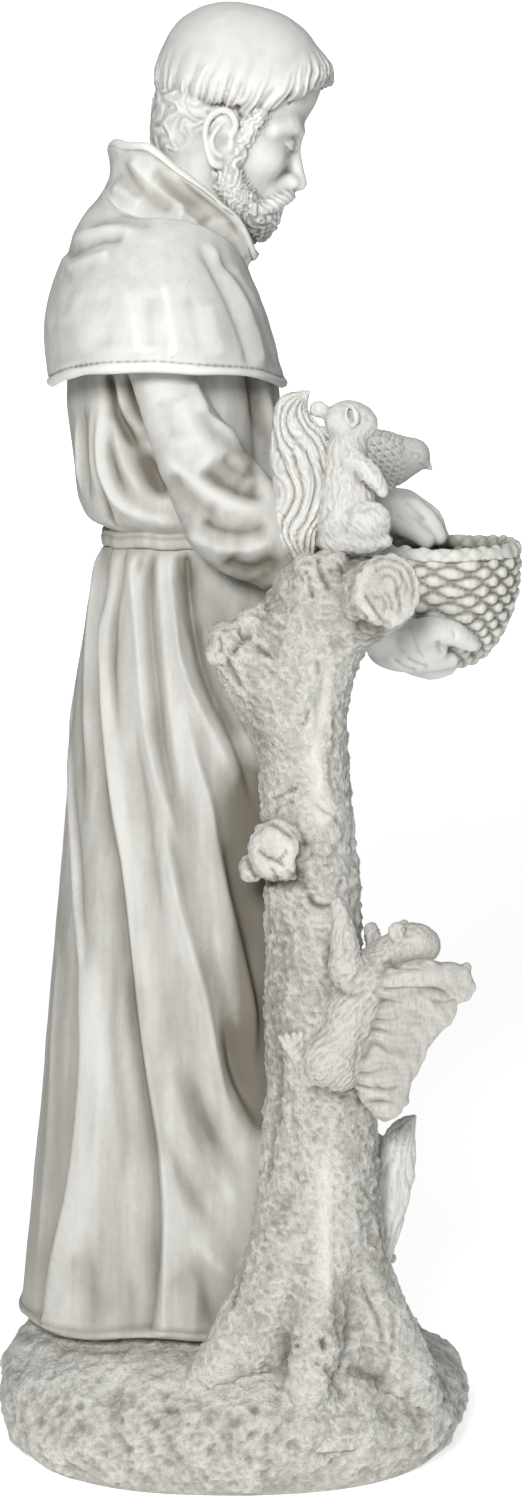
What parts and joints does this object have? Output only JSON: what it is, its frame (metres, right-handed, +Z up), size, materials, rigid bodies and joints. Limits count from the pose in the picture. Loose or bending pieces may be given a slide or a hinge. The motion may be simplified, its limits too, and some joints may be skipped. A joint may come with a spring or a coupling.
{
  "type": "saint francis statue",
  "caption": "Garden statue of a tonsured friar in a belted habit and cape, holding a woven basket beside a tree stump with squirrels and a small bird, on a rock base.",
  "frame": {"origin": "centre of the statue's box, on the plane that its rock base stands on", "axes": "+Z up, +X the way the friar faces, -Y the friar's right hand side with the tree stump"},
  "size_m": [0.459, 0.3746, 1.27],
  "materials": {
    "stone_resin": "antique white stone finish on cast resin, matt to soft satin, grey-brown wash in the hollows"
  },
  "bodies": {
    "root": {"friar_statue": "stone_resin"}
  },
  "joints": []
}
